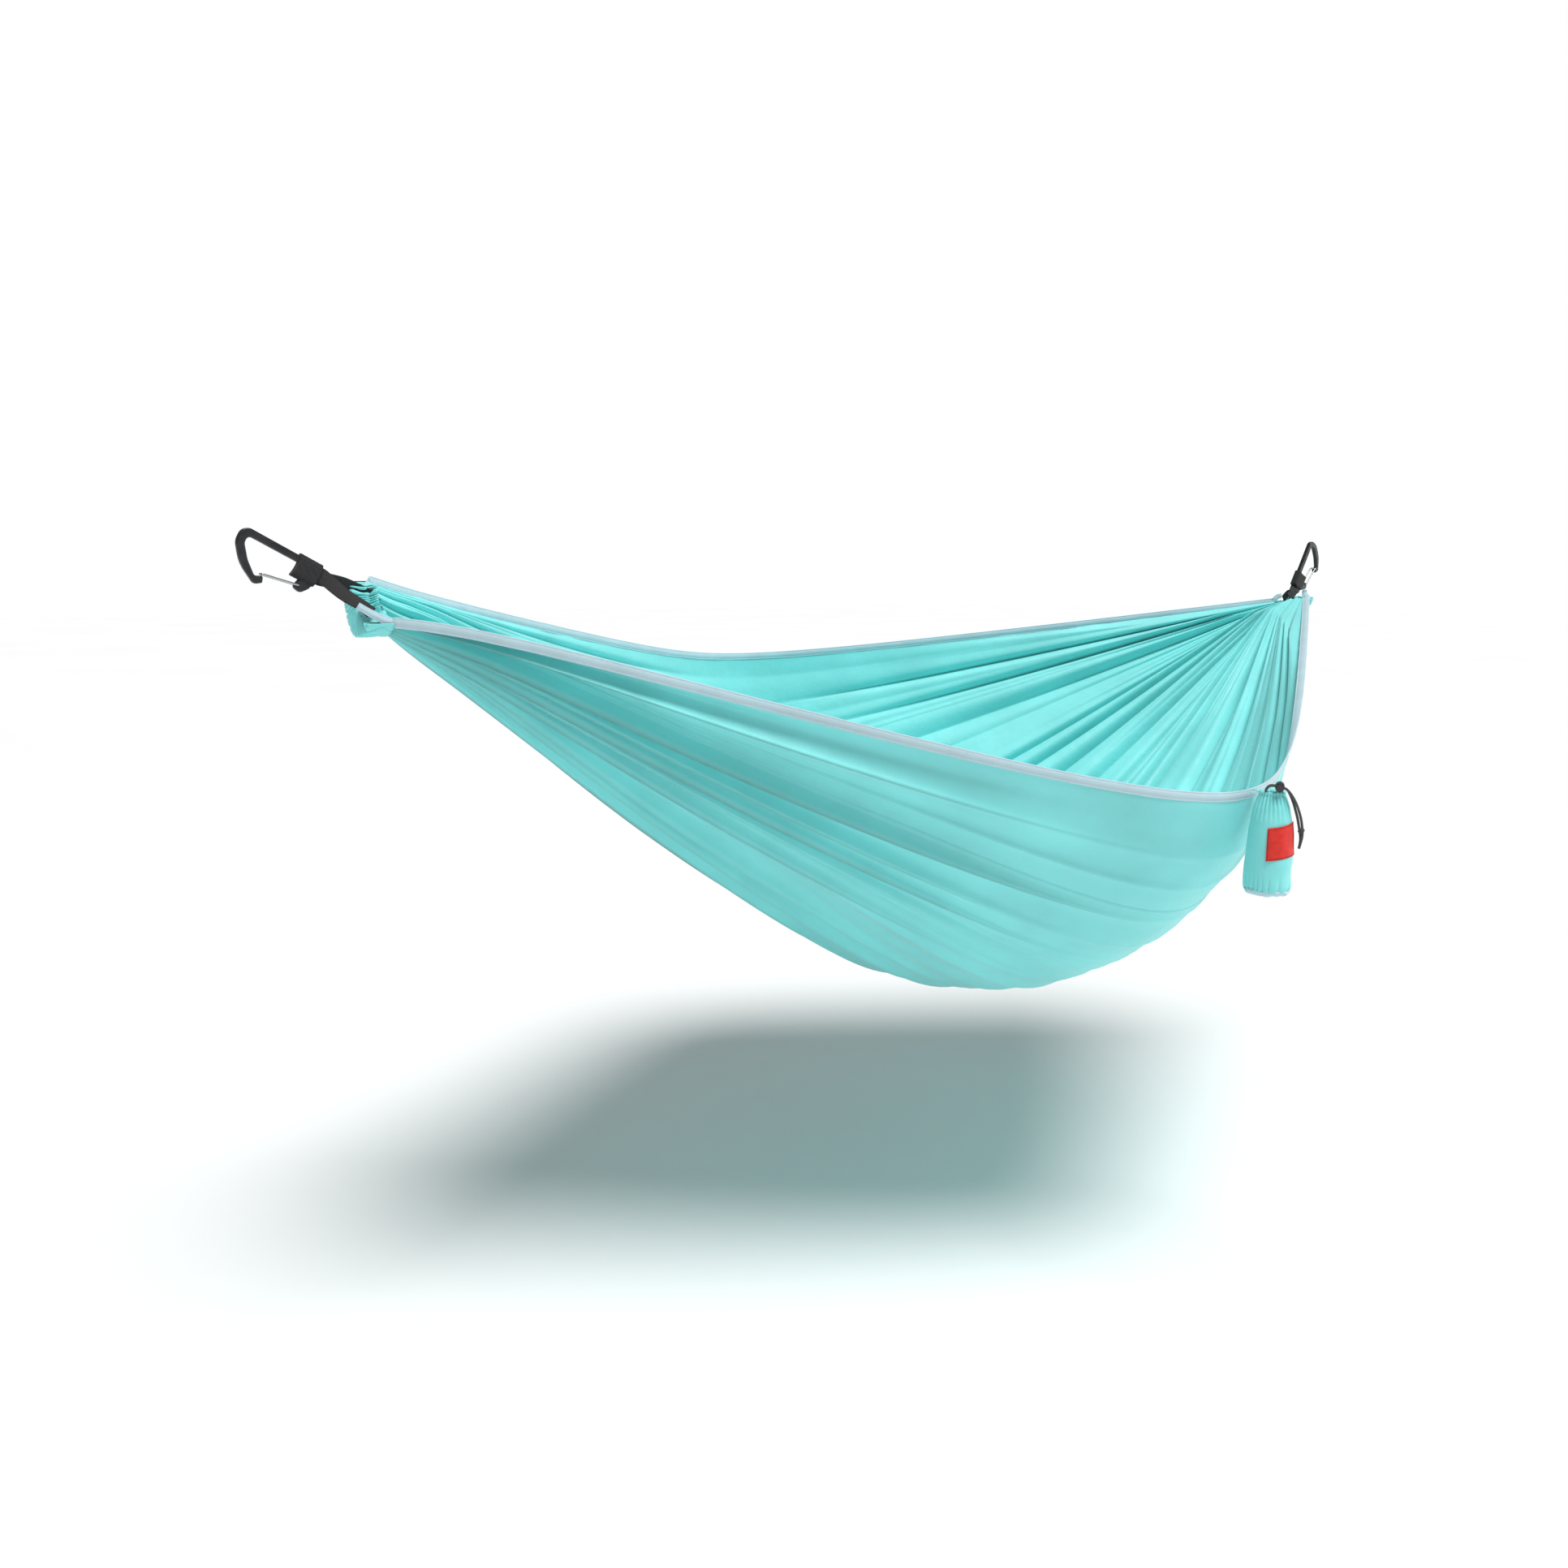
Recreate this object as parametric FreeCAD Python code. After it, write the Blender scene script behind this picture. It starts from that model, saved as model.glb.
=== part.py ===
import FreeCAD, Part
import math
import os

# Camping hammock hung open between two carabiners, one solid per piece, in millimetres.
# Origin: the point where a tree strap bears inside the left carabiner.  +X runs towards the
# right carabiner, +Z is up, and the edge that carries the stuff sack is the near (-Y) one.

V = FreeCAD.Vector
os.makedirs("parts", exist_ok=True)

# Bed: plan and drops between the two gathers
SPAN = 2100.0                  # gather to gather
GATHER_HALF = 42.0             # half width of the bunched fabric at a gather
GATHER_DEPTH = 45.0            # depth of the bunched fabric at a gather
NEAR_HALF, FAR_HALF = 607.0, 647.0     # extra half width at mid span, near and far edge
NEAR_DROP, FAR_DROP = 277.0, 142.0     # how far each edge sags at mid span
BED_DROP = 688.0               # extra depth of the bed's lowest line at mid span
BED_SHIFT = 68.0               # how far the lowest line leans towards the far edge
PLAN_BEND, EDGE_BEND, BED_BEND = 0.165, 0.226, 0.129   # roundness of each curve at mid span
FULLNESS = 1.15                # 1 is an ellipse, more is a sharper keel
NEAR_LEFT, NEAR_RIGHT = -11.0, -14.0   # height of the edges at the gathers
FAR_LEFT, FAR_RIGHT = 18.0, -25.0
NEAR_TUCK, FAR_TUCK = -20.0, 7.0       # local fall and rise of the edges beside the left gather
TUCK_POWER = 24

# Cloth
CLOTH = 2.4                    # stand-in thickness of the nylon
TRIM_WIDTH, TRIM_THICK = 15.0, 3.4
TRIM_LAP = 2.0                 # binding over cloth
SEAM = 0.12                    # seams lie this share of the way across from each edge
STATIONS = 24                  # sections along the span
FINE_STEPS = 480               # steps across a section when its length is measured
GATHER_STEPS = 16              # steps across a gather
CHANNEL_WALL = 10.0
LEFT_CHANNEL, RIGHT_CHANNEL = 34.0, 18.0
CHANNEL_HEM = 3.0              # cloth left each side of the webbing in a channel

# Rig: distances from each hang point, and each carabiner's slope
LEFT_GATHER = V(175.5, 0, -78.5)
RIGHT_HANG = V(2348.1, 0, 17.0)
LEFT_SLOPE, RIGHT_SLOPE = 29.3, 61.0   # degrees below horizontal, towards the bed
WEB_WIDTH, WEB_THICK = 20.0, 2.6
WEB_CHANNEL_THICK = 3.0
STRAND_APART, STRAND_ACROSS = 4.6, 12.0    # strands at the hitch, from the middle and the spine
STRAND_CLEAR, STRAND_BELLY = 0.3, 5.0

# Carabiner, flat outline in (along, across), from the basket to the sling end
HANG = (12.0, 16.0)            # where the tree strap bears
SLING_BEAR = 99.5              # where the sling bears
BODY_THICK = 8.6
BODY_ROUND = 2.0
PIVOT = (95.3, 36.5)
PIVOT_R, WIRE_R = 1.45, 1.4
GATE_SIDE = 6.0                # wire centre from the body's middle plane
WIRE_TIP = 4.6                 # how far each foot reaches into the pivot hole
WIRE_BEND = 1.6
GATE_NOSE = (47.4, 46.6)       # where the wire crosses inside the nose
HITCH = (80.0, 113.0, -3.2, 29.5)      # along from, to, across from, to
HITCH_HALF = 7.4
HITCH_CORNERS, HITCH_ROUND = (5, 9, 11, 6), 1.6
GROOVE = (28.0, 2.9, 50.0, 4.4)        # on each face of the spine: start along, across, size
GROOVE_DEEP, GROOVE_ROUND = 0.6, 2.1

# Stuff sack, profile as (depth below the mouth, radius)
SACK_AT = 0.518                # place along the near edge
SACK_STANDOFF = 35.0
SACK_RISE = 8.0                # mouth above the edge's centre line
SACK_PROFILE = [(0, 14.5), (9, 19), (24, 25), (42, 29.3), (61, 31.8), (94, 33.2), (119, 33.6),
                (150, 32.4)]
SACK_FLOOR = 156.5
BASE_STEPS = [(3, 3.5), (12, 6)]       # rounding of the base disc: (in from its rim, down)
BASE_BULGE = 1.5
SACK_FRONT, SACK_RIGHT = V(-0.82, -0.57, 0), V(0.57, -0.82, 0)
SACK_CLOTH = 1.6
HEM_R, HEM_TUBE = 15.0, 3.2
LABEL_DEPTH, LABEL_HEIGHT = 48.0, 49.0
LABEL_FROM, LABEL_SWEEP = -7.0, 90.0   # degrees round the sack, from its front
LABEL_THICK, LABEL_GAP = 0.9, 0.5
LABEL_TILT = 8.0               # how much higher its right edge is sewn
TAB_WIDTH, TAB_THICK, TAB_GAP = 16.0, 1.6, 2.8

# Drawcord and its lock; places are (right, front, up) from the sack's mouth
CORD = 3.8
STRAND_GAP = 2.1               # half the distance between the two strands in the lock
LOCK = (9.5, 14.0, 8.0)        # middle of the lock, where the strands cross it
LOCK_DIP = 10.0                # degrees that the strands fall across the lock
LOCK_R = 6.6
LOCK_BACK, LOCK_FRONT = -11.5, 9.0     # ends of the barrel along its axis
LOCK_FLOOR = 1.3
BUTTON_R, BUTTON_BACK, BUTTON_FRONT = 5.0, -5.5, 12.2
BUTTON_TRAVEL = 3.0
BORE_GAP = 0.25
SPRING_R, SPRING_WIRE, SPRING_PITCH, SPRING_HEIGHT = 3.4, 0.3, 1.1, 3.4
SPRING_SEAT = 0.05
STRAND_ROUTE = [(-9.4, 13.3, 0.05), (-9.4, 13.4, 3.3), (-6.4, 13.8, 7.8), (-1.4, 14.0, 9.92),
                (17.9, 14.0, 6.52), (24.3, 13.0, -1.2), (30.4, 11.5, -12.6),
                (35.2, 9.0, -25.8), (39.2, 6.5, -38.8), (41.6, 4.0, -51.2),
                (43.6, 2.5, -64.0), (43.2, 1.5, -74.5), (41.2, 0.5, -84.5)]
# half the distance between the strands at each place, (front, right)
STRAND_SPREAD = [(2.1, 0)] * 5 + [(2.0, 0.8), (1.5, 1.8), (0.8, 2.3), (0.2, 2.4), (0, 2.3),
                                  (1.5, 1.6), (2.1, 0.3), (2.2, 0)]
KNOT = (42.9, 3.0, -57.5)
KNOT_R, KNOT_TALL = 5.8, 1.12


def save(name, shape):
    """Write one closed node."""
    if not shape.isValid():
        shape.fix(0.01, 0.01, 0.1)
    print("%-26s valid %s volume %9.0f solids %d" % (name, shape.isValid(), shape.Volume,
                                                     len(shape.Solids)))
    shape.exportStep("parts/%s.step" % name)


# ---------------------------------------------------------------- bed surface
def bow(u, bend):
    """0 at the gathers, 1 at mid span: straight flanks joined by a round of the given size."""
    t = 2 * u - 1
    return 1 - (math.hypot(t, bend) - bend) / (math.hypot(1, bend) - bend)


def section_point(u, angle):
    """Bed surface, with u along the span and the angle from the near edge (0) to the far (pi)."""
    tuck = (1 - u) ** TUCK_POWER
    plan = bow(u, PLAN_BEND)
    sag = bow(u, EDGE_BEND)
    keel = bow(u, BED_BEND)
    middle = BED_SHIFT * keel
    low = -GATHER_DEPTH - BED_DROP * keel
    if math.cos(angle) >= 0:
        top = -NEAR_DROP * sag + NEAR_LEFT * (1 - u) + NEAR_RIGHT * u + NEAR_TUCK * tuck
        reach = GATHER_HALF + NEAR_HALF * plan + middle
    else:
        top = -FAR_DROP * sag + FAR_LEFT * (1 - u) + FAR_RIGHT * u + FAR_TUCK * tuck
        reach = GATHER_HALF + FAR_HALF * plan - middle
    y = middle - reach * math.cos(angle)
    z = top - (top - low) * abs(math.sin(angle)) ** FULLNESS
    return LEFT_GATHER + V(SPAN * u, y, z)


def section(u, distances=None, shares=None, lap=0.0):
    """Points across the bed at u.

    distances: lengths of cloth from the near edge.
    shares: fractions of the cloth between the two bindings, which overlap it by lap.
    """
    fine = FINE_STEPS
    line = [section_point(u, math.pi * i / fine) for i in range(fine + 1)]
    run = [0.0]
    for a, b in zip(line, line[1:]):
        run.append(run[-1] + (b - a).Length)
    total = run[-1]
    if distances is None:
        start = TRIM_WIDTH / 2 - lap
        distances = [start + s * (total - 2 * start) for s in shares]
    points = []
    for d in distances:
        k = 0
        while k < fine - 1 and run[k + 1] < d:
            k += 1
        points.append(line[k] + (line[k + 1] - line[k]) * ((d - run[k]) / (run[k + 1] - run[k])))
    return points, total


def surface(rows):
    """Smooth face through a grid of points."""
    patch = Part.BSplineSurface()
    patch.interpolate(rows)
    return patch


def cloth_slab(rows, thickness):
    """Closed solid of even thickness about a grid of mid-surface points."""
    count, across = len(rows), len(rows[0])
    upper, lower = [], []
    for i in range(count):
        up, down = [], []
        for j in range(across):
            along = rows[min(i + 1, count - 1)][j] - rows[max(i - 1, 0)][j]
            over = rows[i][min(j + 1, across - 1)] - rows[i][max(j - 1, 0)]
            normal = along.cross(over)
            normal.normalize()
            up.append(rows[i][j] + normal * (thickness / 2))
            down.append(rows[i][j] - normal * (thickness / 2))
        upper.append(up)
        lower.append(down)
    top = surface(upper).toShape()
    bottom = surface(lower).toShape()
    sides = [Part.makeRuledSurface(a, b) for a, b in zip(top.Edges, bottom.Edges)]
    shell = Part.Shell([top, bottom] + sides)
    shell.sewShape()
    solid = Part.Solid(shell)
    if solid.Volume < 0:
        solid.reverse()
    return solid


def stations():
    """Places along the span, closer together near the gathers, where the cloth fans out."""
    return [0.5 - 0.5 * math.cos(math.pi * i / STATIONS) for i in range(STATIONS + 1)]


def panel(first, last, strips):
    """Cloth panel between two shares of the bed's width."""
    shares = [first + (last - first) * j / strips for j in range(strips + 1)]
    return cloth_slab([section(u, shares=shares, lap=TRIM_LAP)[0] for u in stations()], CLOTH)


def edge_binding(far):
    """Folded tape on one long edge, centred on the edge line."""
    half = TRIM_WIDTH / 2
    rows = []
    for u in stations():
        total = section(u, shares=[0.5])[1]
        if far:
            inner, edge = section(u, distances=[total - half, total])[0]
        else:
            inner, edge = section(u, distances=[half, 0.0])[0]
        outer = edge * 2 - inner
        rows.append([inner, edge, outer] if far else [outer, edge, inner])
    return cloth_slab(rows, TRIM_THICK)


def gather_line(u):
    """The bunched cloth's U at one end, from mouth to mouth."""
    shares = [j / GATHER_STEPS for j in range(GATHER_STEPS + 1)]
    return section(u, shares=shares, lap=TRIM_WIDTH / 2)[0]


def thick_band(line, thickness, x_from, x_to):
    """U-shaped band about a line across the bed, between two places along X."""
    outer, inner = [], []
    for j, point in enumerate(line):
        over = line[min(j + 1, len(line) - 1)] - line[max(j - 1, 0)]
        normal = V(1, 0, 0).cross(over)
        normal.normalize()
        outer.append(V(x_from, point.y, point.z) + normal * (thickness / 2))
        inner.append(V(x_from, point.y, point.z) - normal * (thickness / 2))
    curves = []
    for points in (outer, inner):
        curve = Part.BSplineCurve()
        curve.interpolate(points)
        curves.append(curve.toShape())
    caps = [Part.makeLine(outer[0], inner[0]), Part.makeLine(outer[-1], inner[-1])]
    face = Part.Face(Part.Wire(Part.__sortEdges__(curves + caps)))
    return face.extrude(V(x_to - x_from, 0, 0))


# ---------------------------------------------------------------- carabiners
def rounded_wire(corners, closed=True):
    """Straight runs joined by tangent arcs, from (point, radius) corners."""
    count = len(corners)
    ends = []
    for i in range(count):
        point, radius = corners[i]
        if not closed and i in (0, count - 1):
            ends.append((point, None, point))
            continue
        back = (corners[i - 1][0] - point).normalize()
        ahead = (corners[(i + 1) % count][0] - point).normalize()
        half = back.getAngle(ahead) / 2
        reach = radius / math.tan(half)
        bisector = (back + ahead).normalize()
        top = point + bisector * (radius / math.sin(half) - radius)
        ends.append((point + back * reach, top, point + ahead * reach))
    edges = []
    for i in range(count):
        start, top, stop = ends[i]
        if top is not None:
            edges.append(Part.Arc(start, top, stop).toShape())
        if i + 1 < count or closed:
            following = ends[(i + 1) % count][0]
            if (following - stop).Length > 1e-6:
                edges.append(Part.LineSegment(stop, following).toShape())
    return Part.Wire(edges)


def carabiner_body():
    """Hot-forged C-shaped body with a nose, a spine and a drilled gate end."""
    outline = [((53.6, 56.4), 2.6), ((44.5, 63.2), 7), ((17, 47.5), 55), ((0, 23.5), 22),
               ((0, 0), 12.5), ((110.5, 0), 15), ((111, 33), 13), ((101.5, 44.6), 6),
               ((89.6, 42), 4.5), ((92.2, 29), 5.5), ((100.4, 25.2), 5), ((99.6, 9.6), 8),
               ((11.4, 10.2), 6), ((11.4, 20.5), 10), ((24, 38), 50), ((40.5, 52.6), 3.4),
               ((50.2, 47.4), 2.6)]
    corners = [(V(a, b, -BODY_THICK / 2), r) for (a, b), r in outline]
    body = Part.Face(rounded_wire(corners)).extrude(V(0, 0, BODY_THICK))
    rims = [e for e in body.Edges if abs(e.BoundBox.ZMax - e.BoundBox.ZMin) < 1e-6]
    body = body.makeFillet(BODY_ROUND, rims)
    hole = Part.makeCylinder(PIVOT_R, 40, V(PIVOT[0], PIVOT[1], -20))
    body = body.cut(hole)
    for side in (-1, 1):
        face_z = side * BODY_THICK / 2
        start_a, start_b, size_a, size_b = GROOVE
        groove = Part.makeBox(size_a, size_b, 2 * GROOVE_DEEP,
                              V(start_a, start_b, face_z - GROOVE_DEEP))
        ends = [e for e in groove.Edges if abs(e.BoundBox.ZLength - 2 * GROOVE_DEEP) < 1e-6]
        body = body.cut(groove.makeFillet(GROOVE_ROUND, ends))
    return body


def wire_gate():
    """Sprung wire loop: both feet in the pivot hole, the crossing inside the nose."""
    foot = GATE_SIDE - WIRE_TIP
    corners = [(V(*PIVOT, -foot), 0), (V(*PIVOT, -GATE_SIDE), WIRE_BEND),
               (V(*GATE_NOSE, -GATE_SIDE), WIRE_BEND), (V(*GATE_NOSE, GATE_SIDE), WIRE_BEND),
               (V(*PIVOT, GATE_SIDE), WIRE_BEND), (V(*PIVOT, foot), 0)]
    wire = rounded_wire(corners, closed=False)
    ring = Part.Wire(Part.makeCircle(WIRE_R, corners[0][0], V(0, 0, 1)))
    return wire.makePipeShell([ring], True, True)


def sling_hitch(body):
    """Webbing girth hitch round the sling end, with the carabiner's own shape cut out."""
    a0, a1, b0, b1 = HITCH
    square = ((a0, b0), (a1, b0), (a1, b1), (a0, b1))
    corners = [(V(a, b, -HITCH_HALF), r) for (a, b), r in zip(square, HITCH_CORNERS)]
    block = Part.Face(rounded_wire(corners)).extrude(V(0, 0, 2 * HITCH_HALF))
    rims = [e for e in block.Edges if e.BoundBox.ZLength < 1e-6]
    block = block.makeFillet(HITCH_ROUND, rims)
    cut = block.cut(body)
    return max(cut.Solids, key=lambda s: s.Volume)


def place(shape, hang, along, across):
    """Set a carabiner piece with its hang point at hang and its two flat axes as given."""
    normal = along.cross(across)
    start = hang - along * HANG[0] - across * HANG[1]
    frame = FreeCAD.Matrix(along.x, across.x, normal.x, start.x, along.y, across.y, normal.y,
                           start.y, along.z, across.z, normal.z, start.z, 0, 0, 0, 1)
    moved = shape.copy()
    moved.Placement = FreeCAD.Placement(frame)
    return moved


def end_rig(side):
    """Hang point and the two flat axes of the carabiner at one end (-1 left, 1 right)."""
    slope = math.radians(LEFT_SLOPE if side < 0 else RIGHT_SLOPE)
    along = V(-side * math.cos(slope), 0, -math.sin(slope))
    across = V(side * math.sin(slope), 0, -math.cos(slope))
    return (V(0, 0, 0) if side < 0 else RIGHT_HANG), along, across


def flat(end, a, b, n=0.0):
    """Carabiner coordinates to the row frame."""
    hang, along, across = end
    return hang + along * (a - HANG[0]) + across * (b - HANG[1]) + along.cross(across) * n


def ribbon(stops):
    """Webbing lofted through (centre, width direction, running direction) stops."""
    wires = []
    for centre, wide, run in stops:
        w = wide.normalize() * (WEB_WIDTH / 2)
        t = wide.cross(run).normalize() * (WEB_THICK / 2)
        ring = [centre + w + t, centre - w + t, centre - w - t, centre + w - t]
        wires.append(Part.makePolygon(ring + ring[:1]))
    return Part.makeLoft(wires, True)


def hammock_end(side):
    """Carabiner, gate, hitch, sling strands, and the channel with the webbing inside it."""
    name = "left" if side < 0 else "right"
    end = end_rig(side)
    body = carabiner_body()
    hitch = sling_hitch(body)
    save(name + "_carabiner_body", place(body, *end))
    save(name + "_wire_gate", place(wire_gate(), *end))
    save(name + "_sling_hitch", place(hitch, *end))

    u = 0.0 if side < 0 else 1.0
    length = LEFT_CHANNEL if side < 0 else RIGHT_CHANNEL
    line = gather_line(u)
    x_in = line[0].x
    x_out = x_in + side * length
    whole = thick_band(line, CHANNEL_WALL, min(x_in, x_out), max(x_in, x_out))
    web_from = x_in + side * CHANNEL_HEM
    web_to = x_out - side * CHANNEL_HEM
    web = thick_band(line, WEB_CHANNEL_THICK, min(web_from, web_to), max(web_from, web_to))
    save(name + "_end_channel", whole.cut(web))
    save(name + "_sling_channel_run", web)

    strands = []
    along, across = end[1], end[2]
    for way, mouth, inner in ((-side, line[0], line[1]), (side, line[-1], line[-2])):
        out = (mouth - inner).normalize()
        start = flat(end, HITCH[1] + STRAND_CLEAR, STRAND_ACROSS, way * -STRAND_APART)
        low = V((web_from + web_to) / 2, mouth.y, mouth.z) + out * STRAND_CLEAR
        middle = (start + low) * 0.5 + out * STRAND_BELLY
        strands.append(ribbon([(start, V(across), V(along)),
                               (middle, across + V(side, 0, 0), low - start),
                               (low, V(side, 0, 0), out * -1)]))
    save(name + "_sling_strands", Part.makeCompound(strands))
    return end


# ---------------------------------------------------------------- stuff sack
def sack_axes():
    """Mouth centre of the hanging sack."""
    edge = section_point(SACK_AT, 0.0)
    return edge + V(0, -SACK_STANDOFF, SACK_RISE)


def revolved(points, centre):
    """Solid of revolution about a vertical axis, from a closed (radius, height) outline."""
    ring = [V(r, 0, z) for r, z in points]
    shape = Part.Face(Part.makePolygon(ring + ring[:1])).revolve(V(0, 0, 0), V(0, 0, 1), 360)
    shape.translate(centre)
    return shape


def sack_radius(depth):
    """Outer radius of the sack at a depth below its mouth."""
    for (d0, r0), (d1, r1) in zip(SACK_PROFILE, SACK_PROFILE[1:]):
        if depth <= d1:
            return r0 + (r1 - r0) * (depth - d0) / (d1 - d0)
    return SACK_PROFILE[-1][1]


def stuff_sack(mouth):
    """Open-mouthed cloth bag with its base disc, mouth hem, label and hanging tab."""
    hem_low = 2 * HEM_TUBE
    outer = [(r, -d) for d, r in SACK_PROFILE if d > hem_low]
    outer = [(sack_radius(hem_low), -hem_low)] + outer
    inner = [(r - SACK_CLOTH, z) for r, z in reversed(outer)]
    save("sack_body", revolved(outer + inner, mouth))
    rim_depth, rim_radius = SACK_PROFILE[-1]
    base = [(0, -rim_depth), (rim_radius, -rim_depth)]
    base += [(rim_radius - inward, -rim_depth - down) for inward, down in BASE_STEPS]
    base.append((0, -SACK_FLOOR - BASE_BULGE))
    save("sack_base", revolved(base, mouth))
    ring = Part.makeTorus(HEM_R, HEM_TUBE, V(0, 0, -HEM_TUBE), V(0, 0, 1))
    tunnel = Part.makeTorus(HEM_R, CORD / 2, V(0, 0, -HEM_TUBE), V(0, 0, 1))
    ring.translate(mouth)
    tunnel.translate(mouth)
    save("sack_mouth_hem", ring.cut(tunnel))
    save("drawcord_channel_run", tunnel)

    top, bottom = LABEL_DEPTH, LABEL_DEPTH + LABEL_HEIGHT
    depths = [top + (bottom - top) * i / 6 for i in range(7)]
    rows = []
    for i in range(9):
        turn = math.radians(LABEL_FROM + LABEL_SWEEP * i / 8)
        row = []
        for level in depths:
            depth = level - LABEL_TILT * (i / 8 - 0.5)
            r = sack_radius(depth) + LABEL_THICK / 2 + LABEL_GAP
            row.append(mouth + front_turn(turn) * r + V(0, 0, -depth))
        rows.append(row)
    save("sack_label", cloth_slab(rows, LABEL_THICK))

    edge = section_point(SACK_AT, 0.0)
    hinge_y = edge.y - TRIM_THICK / 2 - TAB_GAP
    hem_y = mouth.y + HEM_R
    tab = Part.makeBox(TAB_WIDTH, hinge_y - hem_y, TAB_THICK,
                       V(mouth.x - TAB_WIDTH / 2, hem_y, mouth.z - HEM_TUBE - TAB_THICK / 2))
    save("sack_hang_tab", tab.cut(ring))


def front_turn(angle):
    """Level direction, turned from the sack's front towards its right-hand side."""
    return SACK_FRONT * math.cos(angle) + SACK_RIGHT * math.sin(angle)


# ---------------------------------------------------------------- drawcord
def cord_tube(points, name):
    """Round cord along straight runs joined by tangent arcs as large as the runs allow."""
    corners = [(points[0], 0)]
    radii = []
    for before, here, after in zip(points, points[1:], points[2:]):
        turn = math.pi - (before - here).getAngle(after - here)
        run = min((before - here).Length, (after - here).Length)
        radius = 0.45 * run / math.tan(turn / 2)
        radii.append(radius)
        corners.append((here, radius))
    corners.append((points[-1], 0))
    wire = rounded_wire(corners, closed=False)
    ring = Part.Wire(Part.makeCircle(CORD / 2, points[0], points[1] - points[0]))
    tube = wire.makePipeShell([ring], True, True)
    print("%-26s length %.1f radii %s volume/section*length %.4f" % (
        name, wire.Length, [round(r, 1) for r in radii],
        tube.Volume / (math.pi * CORD ** 2 / 4 * wire.Length)))
    return tube


def beside(mouth, spot, shift=(0.0, 0.0)):
    """A place given as (right, front, up) from the sack's mouth, shifted (front, right)."""
    right, front, up = spot
    level = SACK_RIGHT * (right + shift[1]) + SACK_FRONT * (front + shift[0])
    return mouth + level + V(0, 0, up)


def drawcord(mouth):
    """Both strands from the hem through the lock and the knot to their ends."""
    strands = []
    for index, way in ((1, -1), (2, 1)):
        route = [beside(mouth, spot, (way * front, way * right))
                 for spot, (front, right) in zip(STRAND_ROUTE, STRAND_SPREAD)]
        strands.append(cord_tube(route, "strand %d" % index))
        save("drawcord_strand_%d" % index, strands[-1])
    knot = Part.makeSphere(KNOT_R)
    stretch = FreeCAD.Matrix()
    stretch.scale(1, 1, KNOT_TALL)
    knot = knot.transformGeometry(stretch)
    knot.translate(beside(mouth, KNOT))
    save("drawcord_knot", knot.cut(strands[0]).cut(strands[1]))
    cord_lock(mouth)


def cord_lock(mouth):
    """Barrel crossed by both strands, the sprung button inside it and its spring."""
    lock = beside(mouth, LOCK)
    side = V(SACK_FRONT)
    bore = BUTTON_R + BORE_GAP
    barrel = Part.makeCylinder(LOCK_R, LOCK_FRONT - LOCK_BACK, lock + side * LOCK_BACK, side)
    floor = lock + side * (LOCK_BACK + LOCK_FLOOR)
    barrel = barrel.cut(Part.makeCylinder(bore, 40, floor, side))
    save("cord_lock_barrel", barrel.cut(strand_slot(lock, 0.0)))
    button = Part.makeCylinder(BUTTON_R, BUTTON_FRONT - BUTTON_BACK, lock + side * BUTTON_BACK,
                               side)
    save("cord_lock_button", button.cut(strand_slot(lock, BUTTON_TRAVEL)))
    ring = Part.Wire(Part.makeCircle(SPRING_WIRE, V(SPRING_R, 0, 0), V(0, 1, 0)))
    turns = Part.makeLongHelix(SPRING_PITCH, SPRING_HEIGHT, SPRING_R)
    coil = Part.Wire(turns).makePipeShell([ring], True, True)
    seat = floor + side * (SPRING_WIRE + SPRING_SEAT)
    coil.Placement = FreeCAD.Placement(seat, FreeCAD.Rotation(V(0, 0, 1), side))
    save("cord_lock_spring", coil)


def strand_slot(lock, travel):
    """Slot across the lock for the two strands, longer towards the front by the travel."""
    right, side = V(SACK_RIGHT), V(SACK_FRONT)
    dip = math.radians(LOCK_DIP)
    out = right * math.cos(dip) - V(0, 0, math.sin(dip))
    across = side.cross(out)
    half = CORD / 2 + BORE_GAP
    start = lock - out * (2 * LOCK_R)
    back, front = -STRAND_GAP - half, STRAND_GAP + half + travel
    ring = [start + side * s + across * t
            for s, t in ((back, -half), (front, -half), (front, half), (back, half))]
    return Part.Face(Part.makePolygon(ring + ring[:1])).extrude(out * (4 * LOCK_R))


# ---------------------------------------------------------------- everything
save("near_side_panel", panel(0.0, SEAM, 4))
save("centre_panel", panel(SEAM, 1 - SEAM, 20))
save("far_side_panel", panel(1 - SEAM, 1.0, 4))
save("near_edge_trim", edge_binding(far=False))
save("far_edge_trim", edge_binding(far=True))
for end_side in (-1, 1):
    rig = hammock_end(end_side)
    bearing = flat(rig, SLING_BEAR, HANG[1])
    pivot = flat(rig, *PIVOT)
    print("sling bearing", [round(c, 1) for c in bearing], "gate pivot",
          [round(c, 1) for c in pivot])
sack_mouth = sack_axes()
print("sack mouth", [round(c, 1) for c in sack_mouth])
stuff_sack(sack_mouth)
drawcord(sack_mouth)
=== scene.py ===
import bpy
import math
import numpy as np
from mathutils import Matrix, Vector, noise


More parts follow.
